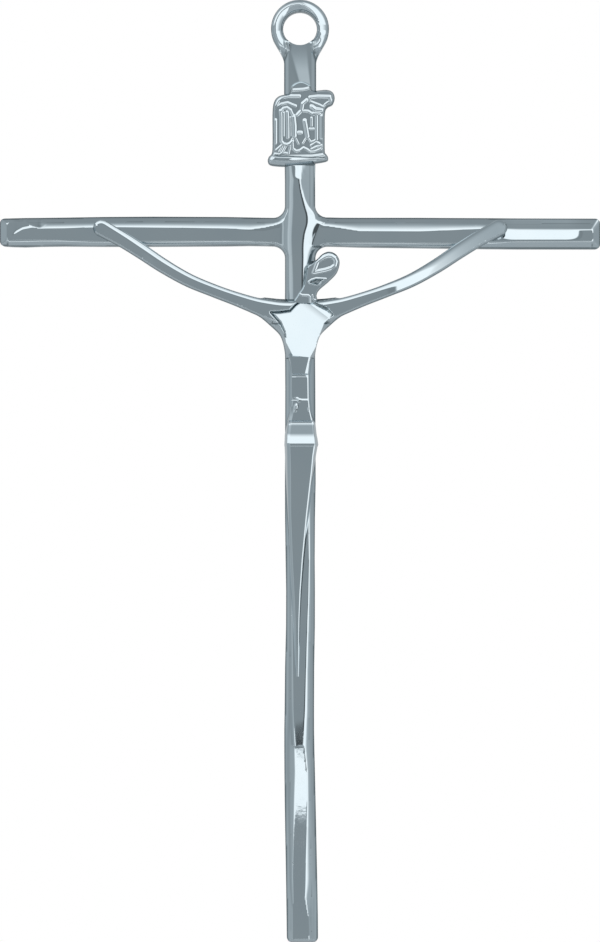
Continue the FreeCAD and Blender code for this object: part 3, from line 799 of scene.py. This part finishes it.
def cross_front(x, z):
    """Forward distance of the cross: a flank from every edge up to the cap, and the ring above."""
    mid, half = middle_of(z), half_of(z)
    on_left = x < mid
    on_top = z > (upper_ridge(x) + lower_ridge(x)) / 2
    reach_up = np.where(on_left, left_ridge(z) + half - mid, half + mid - right_ridge(z))
    reach_bar = np.where(on_top, top_edge(x) - upper_ridge(x), lower_ridge(x) - bottom_edge(x))
    d_up = np.where(on_left, x - mid + half, half + mid - x)
    d_bar = np.where(on_top, top_edge(x) - z, z - bottom_edge(x))
    aside = np.maximum(CORNER_BLEND - d_up, 0) ** 2
    above = np.maximum(CORNER_BLEND - d_bar, 0) ** 2
    on_bar = aside / (aside + above + 0.01)
    q_foot = (z - FOOT_Z) / FOOT_SLOPE
    q_end = (ARM_END - np.abs(x)) / END_SLOPE
    q = round_union(d_up, d_bar, CROSSING_R) / (reach_up + (reach_bar - reach_up) * on_bar)
    q = smooth_min(smooth_min(q, q_foot, FOOT_SOFT), q_end, END_SOFT)

    rise = cap(x, z) - EDGE
    up_tilt = np.where(on_left, left_tilt(z), right_tilt(z)) * reach_up
    bar_tilt = np.where(on_top, UPPER_TILT, LOWER_TILT) * reach_bar
    tilt = up_tilt + (bar_tilt - up_tilt) * on_bar
    crease = np.clip(tilt / np.maximum(rise, LEAST_RISE), 0, MOST_CREASE)
    crease = crease + (1 - crease) * ramp(*END_CREASE, q_end)
    up_power = upright_power(on_left, z)
    power = up_power + (crossbar_power(on_top, x) - up_power) * on_bar
    bars = EDGE + rise * slope(q, crease, power)

    neck = ramp(*NECK_SIDES, np.abs(x)) * ramp(*NECK_START, z)
    weight = np.clip(neck + ramp(*RING_TO, z), 0, 1)
    return ring_level(x, z) * (1 - weight) + bars * weight


def cell_inside(x, z):
    """Distance inside the nearest cored cell of the back."""
    reach = UPRIGHT_HALF - WALL
    shins = [(top - RIB / 2, foot + RIB / 2) for top, foot in zip(SHIN_RIBS[:-1], SHIN_RIBS[1:])]
    inside = np.full(np.shape(x), -FAR)
    for top, foot in UPRIGHT_CELLS + shins:
        cell = block(x - middle_of(z), z, -reach, reach, foot, top, CELL_CORNER_R)
        inside = np.maximum(inside, cell)
    for near, far in CROSSBAR_CELLS:
        low, high = bottom_edge(x) + WALL, top_edge(x) - WALL
        cell = block(np.abs(x), z, near, far, low, high, CELL_CORNER_R)
        inside = np.maximum(inside, cell)
    return inside


def screw_centres():
    """Middle and radius of each screw's head, from the CAD."""
    for name in SCREWS:
        low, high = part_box(name)
        yield (low.x + high.x) / 2 / MM, (low.z + high.z) / 2 / MM, (high.x - low.x) / 2 / MM


def counterbore_inside(x, z):
    """Distance inside the nearest counterbore."""
    inside = np.full(np.shape(x), -FAR)
    for cx, cz, r in screw_centres():
        inside = np.maximum(inside, r + HEAD_GAP - np.hypot(x - cx, z - cz))
    return inside


# the creases that the cross's grid follows, each as a distance that is 0 on the crease
def ridge_line(x, z):
    return np.where((z < -145) & (z > -308), x - right_ridge(z), NO_LINE)


def crest_line(x, z):
    return np.where((z < -47) & (z > -93), x - column_crest(z), NO_LINE)


def end_line(x, z):
    on_end = (np.abs(x) > 80) & (z < -65.5) & (z > -73)
    return np.where(on_end, ARM_END - END_SLOPE - np.abs(x), NO_LINE)


def bar_line(x, z):
    return np.where((np.abs(x) > 8) & (x < 66), z - upper_ridge(x), NO_LINE)


def cross_back(x, z):
    """Forward distance of the back, with its cored cells and counterbores."""
    cored = CELL_DEPTH * ramp(*CELL_SIDE, cell_inside(x, z))
    bored = COUNTERBORE_DEPTH * ramp(*COUNTERBORE_SIDE, counterbore_inside(x, z))
    return BACK + np.maximum(cored, bored)


# ---- figure ----
arm_z, arm_half, arm_mid, arm_depth, square_left, square_right, tilt_right = [
    smooth(ARM, k) for k in range(1, 8)]
chest_left, chest_right = smooth(CHEST_SIDE, 1), smooth(CHEST_SIDE, 2)
chest_inside = closed_curve(CHEST, 1)


def arm_across(x, z):
    """Distance above the arm's middle line, and distance inside its outline."""
    out = np.abs(x)
    lean = arm_z(out + 0.5) - arm_z(out - 0.5)
    across = (z - arm_z(out)) / np.sqrt(1 + lean ** 2)
    inside = arm_half(out) - np.abs(across)
    past_hand = (out - HAND_X) * HAND_ALONG[0] + (z - HAND_Z) * HAND_ALONG[1] > 0
    round_end = HAND_R - np.hypot(out - HAND_X, z - HAND_Z)
    return across, np.where(past_hand & (out > HAND_X - HAND_R), round_end, inside)


def chest_depth(x, z):
    """Distance inside the outline of the chest, which runs on under the arms."""
    sides = np.minimum(x - chest_left(z), chest_right(z) - x)
    return np.minimum(sides, np.minimum(CHEST_TOP - z, z - CHEST_FOOT))


def corpus_outline(x, z):
    _, inside = arm_across(x, z)
    return np.minimum(round_union(inside, chest_depth(x, z), ARMPIT_R), z - CHEST_FOOT)


def arm_section(x, z):
    """Half depth of the arm, and distance outside its outline."""
    across, inside = arm_across(x, z)
    out = np.abs(x)
    e = np.clip(1 - inside / arm_half(out), 0, 1)
    square = np.where(x < 0, square_left(out), square_right(out))
    full = ARM_RIM + (1 - ARM_RIM) * np.maximum(1 - e ** square, 0) ** (1 / square)
    bevel = ARM_RIM + (1 - ARM_RIM) * np.clip(inside / ARM_BEVEL, 0, 1)
    full = np.where((across < 0) & (out > ARM_BEVEL_FROM), bevel, full)
    return arm_depth(out) * full, np.clip(-inside, -1, 1)


def arm_line(x, z):
    """The crease of the bevel, as a distance that is 0 on it."""
    across, inside = arm_across(x, z)
    on_arm = (np.abs(x) > ARM_CREASE_FROM) & (across < 0)
    return np.where(on_arm, inside - ARM_BEVEL, NO_LINE)


def seat_on_cross(x, z, clear):
    """Just below the front of the cross where there is one, and clear beside it."""
    return np.where(cross_outline(x, z) > 0, cross_front(x, z) - SEAT_SINK, clear)


def corpus_front(x, z):
    """Forward distance of the arms and the chest's facet."""
    depth, past = arm_section(x, z)
    across, _ = arm_across(x, z)
    out = np.abs(x)
    lift = np.where(x < 0, 0, tilt_right(out)) * (arm_half(out) - across)
    arms = arm_mid(out) + depth + lift - ARM_PAST_SLOPE * np.maximum(past, 0)
    edge = corpus_outline(x, z)
    facet = chest_inside(x, z)
    plane = CHEST_LOW - CHEST_TILT * (z - CHEST_LOW_Z)
    beyond = SHOULDER_ALONG[0] * (x - SHOULDER_X) + SHOULDER_ALONG[1] * (z - SHOULDER_Z)
    plane = plane - SHOULDER_BEND * np.maximum(beyond, 0) ** 2
    gap = edge + np.maximum(-facet, 0)
    up_flank = np.clip(edge / np.maximum(gap, 0.1), 0, 1) ** FLANK_POWER
    flank = FLANK + (plane - FLANK) * up_flank
    low = ramp(*FLANK_FROM, z)
    beside = smooth_max(arms, np.where(low > 0, flank * low, 0), FLANK_SOFT)
    groove = CHEST_GROOVE * np.exp(-(facet / GROOVE_HALF) ** 2) * (x < 0) * (z > GROOVE_FOOT)
    return beside - groove + (plane - beside) * ramp(*CHEST_SIDE_FADE, facet)


def corpus_back(x, z):
    """The arms' backs, and the seat of the chest and the hands on the cross."""
    depth, past = arm_section(x, z)
    arms = arm_mid(np.abs(x)) - depth
    seat = seat_on_cross(x, z, SEAT)
    behind = np.maximum(arms, np.minimum(seat, arms + 1))
    return behind + (seat - behind) * ramp(*ARM_BACK_OVER, past) * ramp(*ARM_BACK_TO, np.abs(x))


def leg_columns(outer_left, left, right, outer_right, front):
    """Points across the legs' section from left to right, and how far down a side wall each is."""
    gap = np.minimum(1.0, (right - left) / 1.2)
    left_gap = np.minimum(1.0, (left - outer_left) / 0.6)
    right_gap = np.minimum(1.0, (outer_right - right) / 0.6)
    side_steps = np.linspace(0, 1, 7)[1:-1]
    columns = []
    for t in WALL_STEPS[::-1]:
        columns.append((outer_left - WALL_LEAN * t * (front - SEAT), t))
    for t in side_steps:
        columns.append((outer_left + (left - outer_left) * t, 0))
    for t in EDGE_STEPS:
        columns.append((left + t * np.where(t > 0, gap, left_gap), 0))
    for t in np.linspace(0, 1, 9)[1:-1]:
        columns.append((left + 0.5 * gap + (right - left - gap) * t, 0))
    for t in EDGE_STEPS:
        columns.append((right + t * np.where(t < 0, gap, right_gap), 0))
    for t in side_steps:
        columns.append((right + (outer_right - right) * t, 0))
    for t in WALL_STEPS:
        columns.append((outer_right + WALL_LEAN * t * (front - SEAT), t))
    x = np.sort(np.array([column[0] for column in columns]), axis=0)
    return x, np.array([column[1] for column in columns])[:, None]


def legs(name):
    """Abdomen, waist, cloth, knees and shins: flat facets between soft or crisp edges."""
    stations = np.array([row[0] for row in LEGS])
    fill = [np.linspace(a, b, max(2, int((a - b) / LEG_ROW))) for a, b in zip(stations, stations[1:])]
    rows = np.unique(np.concatenate(fill))[::-1]
    outer_left, left, right, outer_right, front, left_fall, right_fall = [
        linear(LEGS, k)(rows) for k in range(1, 8)]
    x, down = leg_columns(outer_left, left, right, outer_right, front)
    left_soft = LEFT_SOFT * np.minimum(1, (left - outer_left) / 2)
    forward = front - left_fall * smooth_max(left - x, 0, left_soft)
    forward = forward - right_fall * smooth_max(x - right, 0, RIGHT_SOFT)
    z = np.tile(rows, (len(x), 1))
    for cx, cz, r in KNOTS:
        forward = forward + KNOT_RISE * r * np.exp(-((x - cx) ** 2 + (z - cz) ** 2) / r ** 2)
    seat = cross_front(x, z) - SEAT_SINK
    forward = forward + (seat - forward) * down
    co = np.stack([x.T, -forward.T, z.T], 2).reshape(-1, 3) * MM
    wide, tall = len(x), len(rows)
    faces = []
    for i in range(tall - 1):
        for j in range(wide):
            k = (j + 1) % wide
            faces.append([i * wide + j, (i + 1) * wide + j, (i + 1) * wide + k, i * wide + k])
    faces.append(list(range(wide)))
    faces.append([(tall - 1) * wide + j for j in range(wide)][::-1])
    return mesh_piece(name, co, faces)


head_inside = closed_curve(HEAD)
lens_inside = closed_curve(LENS, 1)
HEAD_BEADS = [
    bead(LOOP + LOOP[:1], 0.52), bead(LENS + LENS[:1], 0.26), bead(COLLAR, 0.3), bead(NAPE, 0.24)]


def head_front(x, z):
    d = head_inside(x, z)
    level = HEAD_EDGE + (HEAD_FORWARD - HEAD_EDGE) * np.clip(d / HEAD_BEVEL, 0, 1)
    for raised in HEAD_BEADS:
        level = level + raised(x, z)
    return level - LENS_DEPTH * ramp(*LENS_SIDE, lens_inside(x, z))


def head_back(x, z):
    return seat_on_cross(x, z, HEAD_BACK)


# ---- scroll ----
scroll_inside = closed_curve(SCROLL)
SCROLL_BEADS = [bead(points, STROKE_WIDER * half_wide) for half_wide, points in STROKES]


def scroll_front(x, z):
    d = scroll_inside(x, z)
    level = SCROLL_EDGE + (SCROLL_FRONT - SCROLL_EDGE) * np.clip(d / SCROLL_BEVEL, 0, 1)
    roll = np.maximum(1 - ((z + ROLL_Z + ROLL_LEAN * x) / ROLL_HALF) ** 2, 0)
    level = level + ROLL_RISE * np.sqrt(roll) * np.clip(d / ROLL_SIDE, 0, 1)
    lines = 0 * level
    for raised in SCROLL_BEADS:
        lines = np.maximum(lines, raised(x, z))
    return level + lines


def scroll_back(x, z):
    return np.maximum(seat_on_cross(x, z, SCROLL_BACK), SCROLL_BACK)


# ---- materials ----
class Nodes:
    """Adds shader nodes and links them by value or by socket."""

    def __init__(self, tree):
        self.tree = tree
        tree.nodes.clear()

    def add(self, kind, inputs=(), **settings):
        node = self.tree.nodes.new(kind)
        for key, value in settings.items():
            setattr(node, key, value)
        for key, value in dict(inputs).items():
            if isinstance(value, bpy.types.NodeSocket):
                self.tree.links.new(value, node.inputs[key])
            else:
                node.inputs[key].default_value = value
        return node

    def math(self, operation, a, b=0.0, c=0.0):
        return self.add("ShaderNodeMath", {0: a, 1: b, 2: c}, operation=operation).outputs[0]

    def band(self, value, low, high, to_low=0.0, to_high=1.0):
        """A soft step from to_low to to_high as value goes from low to high."""
        inputs = {"Value": value, "From Min": low, "From Max": high, "To Min": to_low, "To Max": to_high}
        return self.add("ShaderNodeMapRange", inputs, interpolation_type="SMOOTHSTEP").outputs[0]

    def noise(self, where, scale, detail=2.0, rough=0.5):
        inputs = {"Vector": where, "Scale": scale, "Detail": detail, "Roughness": rough}
        return self.add("ShaderNodeTexNoise", inputs).outputs["Fac"]


def new_material(name):
    material = bpy.data.materials.new(name)
    material.use_nodes = True
    n = Nodes(material.node_tree)
    return material, n, n.add("ShaderNodeTexCoord").outputs["Object"]


def metal(name, light, deep, hollow_shade_colour, rough, peel, scratch):
    """Plated or bare metal with tint drift, smears, an orange-peel surface and fine polishing lines, and
    painted shade that darkens its hollows.
    """
    material, n, where = new_material(name)
    drift = n.noise(where, 60.0, 3.0)
    colour = n.add("ShaderNodeMix", {0: n.band(drift, 0.35, 0.65), 6: light, 7: deep}, data_type="RGBA")
    # painted shade: a point's depth below its surroundings darkens its colour towards a darker one
    shade_in_hollow = n.add("ShaderNodeAttribute", attribute_name="hollow_shade").outputs["Fac"]
    shade = n.add("ShaderNodeMix", {0: shade_in_hollow, 6: colour.outputs[2], 7: hollow_shade_colour}, data_type="RGBA")
    smear = n.band(n.noise(where, 140.0, 4.0, 0.6), 0.45, 0.8, rough, rough * 2.2)
    lines = n.add("ShaderNodeMapping", {"Vector": where, "Scale": (900.0, 900.0, 9000.0)}).outputs[0]
    fine = n.noise(lines, 1.0, 2.0)
    coarse = n.noise(where, 450.0, 2.0)
    low = n.add("ShaderNodeBump", {"Height": coarse, "Strength": 1.0, "Distance": peel}).outputs[0]
    bump = n.add("ShaderNodeBump", {"Height": fine, "Strength": 1.0, "Distance": scratch, "Normal": low})
    shader = n.add("ShaderNodeBsdfPrincipled", {
        "Base Color": shade.outputs[2], "Metallic": 1.0, "Roughness": smear, "Normal": bump.outputs[0]})
    n.add("ShaderNodeOutputMaterial", {"Surface": shader.outputs[0]})
    return material


def matte(name, colour):
    """A dull surface with a slight drift in tone."""
    material, n, where = new_material(name)
    tone = n.noise(where, 3.0, 3.0)
    darker = [c * 0.97 for c in colour[:3]] + [1.0]
    mixed = n.add("ShaderNodeMix", {0: tone, 6: colour, 7: darker}, data_type="RGBA")
    shader = n.add("ShaderNodeBsdfPrincipled", {"Base Color": mixed.outputs[2], "Roughness": 0.8})
    n.add("ShaderNodeOutputMaterial", {"Surface": shader.outputs[0]})
    return material


# ---- light ----
ALL_HEIGHTS = (-60.0, -30.0, 40.0, 70.0)
# soft patches of the sky: where each starts, is full, is full still and ends, in degrees to the
# right of the front and in degrees up, then its strength
PATCHES = [
    ((17.0, 20.0, 30.0, 55.0), ALL_HEIGHTS, 0.95),
    ((25.0, 40.0, 55.0, 110.0), ALL_HEIGHTS, 0.17),
    ((-30.0, -24.0, -16.0, -9.0), ALL_HEIGHTS, 0.30),
    ((-85.0, -55.0, -28.0, -18.0), ALL_HEIGHTS, 0.12),
    ((-60.0, -40.0, 40.0, 60.0), (-30.0, -27.0, -21.0, -18.0), 0.75),
    ((-20.0, -15.0, 15.0, 20.0), (-6.1, -5.95, -4.95, -4.85), 1.0),
    ((-70, -45, 45, 70), (8.0, 9.5, 11.5, 13.0), -0.05),
    ((10.0, 12.0, 17.0, 19.0), (-4.9, -4.8, 8.0, 12.0), -0.26),
    ((-181.0, -180.0, -100.0, -70.0), ALL_HEIGHTS, 0.14),
    ((80.0, 120.0, 180.0, 181.0), ALL_HEIGHTS, 0.10),
]
OVERHEAD = ((-90, -55, 40, 62), (12.0, 14.0, 20.0, 76.0), 1.0)
OVERHEAD_POWER = 1.5
SKY_GREY = 0.365
SKY_LEAST = 0.05
SKY_MOST = 1.35


def studio():
    """A grey sky with soft bright and dark patches. The camera itself sees plain white instead."""
    world = bpy.data.worlds.new("studio")
    world.use_nodes = True
    n = Nodes(world.node_tree)
    ray = n.add("ShaderNodeTexCoord").outputs["Generated"]
    part = n.add("ShaderNodeSeparateXYZ", {0: ray})
    x, y, z = part.outputs[0], part.outputs[1], part.outputs[2]
    deg = 180 / math.pi
    up = n.math("MULTIPLY", n.math("ARCSINE", z), deg)
    side = n.math("MULTIPLY", n.math("ARCTAN2", x, n.math("MULTIPLY", y, -1.0)), deg)

    def window(value, a, b, c, d):
        return n.math("MULTIPLY", n.band(value, a, b), n.band(value, c, d, 1.0, 0.0))

    def patch(side_edges, up_edges, strength):
        area = n.math("MULTIPLY", window(side, *side_edges), window(up, *up_edges))
        return n.math("MULTIPLY", area, strength)

    level = SKY_GREY
    for edges_and_strength in PATCHES:
        level = n.math("ADD", level, patch(*edges_and_strength))
    level = n.math("ADD", level, n.math("POWER", patch(*OVERHEAD), OVERHEAD_POWER))
    level = n.math("MAXIMUM", n.math("MINIMUM", level, SKY_MOST), SKY_LEAST)
    bright = n.band(level, 0.3, 1.2)
    cool, white = (0.925, 1.0, 1.04, 1), (1.0, 1.0, 1.0, 1)
    tint = n.add("ShaderNodeMix", {0: bright, 6: cool, 7: white}, data_type="RGBA")
    lit = n.add("ShaderNodeBackground", {"Color": tint.outputs[2], "Strength": level})
    plain = n.add("ShaderNodeBackground", {"Color": white, "Strength": 1.0})
    camera_ray = n.add("ShaderNodeLightPath").outputs["Is Camera Ray"]
    mix = n.add("ShaderNodeMixShader", {0: camera_ray, 1: lit.outputs[0], 2: plain.outputs[0]})
    n.add("ShaderNodeOutputWorld", {"Surface": mix.outputs[0]})
    bpy.context.scene.world = world


# ---- scene ----
# the darker third colour of each metal is painted shade for the hollows of the castings
PLATED = metal("bright_plate", light=(0.62, 0.70, 0.74, 1), deep=(0.60, 0.685, 0.73, 1),
               hollow_shade_colour=(0.26, 0.31, 0.33, 1), rough=0.02, peel=0.0000025, scratch=0.0000001)
STEEL = metal("screw_steel", light=(0.52, 0.52, 0.50, 1), deep=(0.44, 0.44, 0.43, 1),
              hollow_shade_colour=(0.2, 0.2, 0.2, 1), rough=0.22, peel=0.000004, scratch=0.000002)
PALE = (0.85, 0.86, 0.87, 1)
FLOOR_R = 0.8
FLOOR_SIDES = 96
FLOOR_BELOW_FOOT = 0.16
CAMERA_DISTANCE = 1.1
SENSOR = 36.0


def dress(piece, material):
    piece.data.materials.clear()
    piece.data.materials.append(material)
    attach(piece, "root")


def build_castings():
    low = (CROSS_LOW[0] - CROSS_GRID, FOOT_Z - CROSS_GRID)
    high = (ARM_END + CROSS_GRID, EYE_OUTER + CROSS_GRID)
    cross = relief("cross_body", cross_outline, cross_front, cross_back, low, high, CROSS_GRID,
                   (cell_inside, counterbore_inside, ridge_line, crest_line, bar_line, end_line))
    dress(cross, PLATED)
    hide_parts("cross_casting")

    corpus = relief("corpus_body", corpus_outline, corpus_front, corpus_back,
                    (-70.6, -112.6), (70.6, -62.0), ARM_GRID, (chest_inside, arm_line))
    dress(corpus, PLATED)
    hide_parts("corpus_casting")
    dress(legs("corpus_legs"), PLATED)
    head = relief("corpus_head", head_inside, head_front, head_back,
                  (-3.0, -94.5), (14.5, -75.0), HEAD_GRID, (inset(head_inside, HEAD_BEVEL),))
    dress(head, PLATED)

    scroll = relief("scroll_body", scroll_inside, scroll_front, scroll_back,
                    (-12.0, -48.0), (12.5, -17.0), SCROLL_GRID, (inset(scroll_inside, SCROLL_BEVEL),))
    dress(scroll, PLATED)
    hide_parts("scroll_casting")


def dress_screws():
    for name in SCREWS:
        for slot in frame["nodes"][name].material_slots:
            slot.material = STEEL


def lay_floor():
    top = FOOT_Z * MM - FLOOR_BELOW_FOOT
    turns = [2 * math.pi * k / FLOOR_SIDES for k in range(FLOOR_SIDES)]
    ring = [(FLOOR_R * math.cos(turn), FLOOR_R * math.sin(turn), top) for turn in turns]
    mesh = bpy.data.meshes.new("floor")
    mesh.from_pydata(ring, [], [list(range(FLOOR_SIDES))])
    floor = bpy.data.objects.new("floor", mesh)
    bpy.context.scene.collection.objects.link(floor)
    mesh.materials.append(matte("pale_floor", PALE))


def aim_camera():
    data = bpy.data.cameras.new("camera")
    tall = EYE_OUTER - FOOT_Z
    middle = (EYE_OUTER + FOOT_Z) / 2 * MM
    data.sensor_width = SENSOR
    data.lens = SENSOR / 2 / (tall * MM / 2 / CAMERA_DISTANCE)
    data.clip_start = 0.05
    camera = bpy.data.objects.new("camera", data)
    camera.location = (0.0, -CAMERA_DISTANCE, middle)
    camera.rotation_euler = (math.pi / 2, 0, 0)
    bpy.context.scene.collection.objects.link(camera)
    bpy.context.scene.camera = camera


build_castings()
dress_screws()
lay_floor()
studio()
aim_camera()
bpy.context.scene.view_settings.view_transform = "Standard"
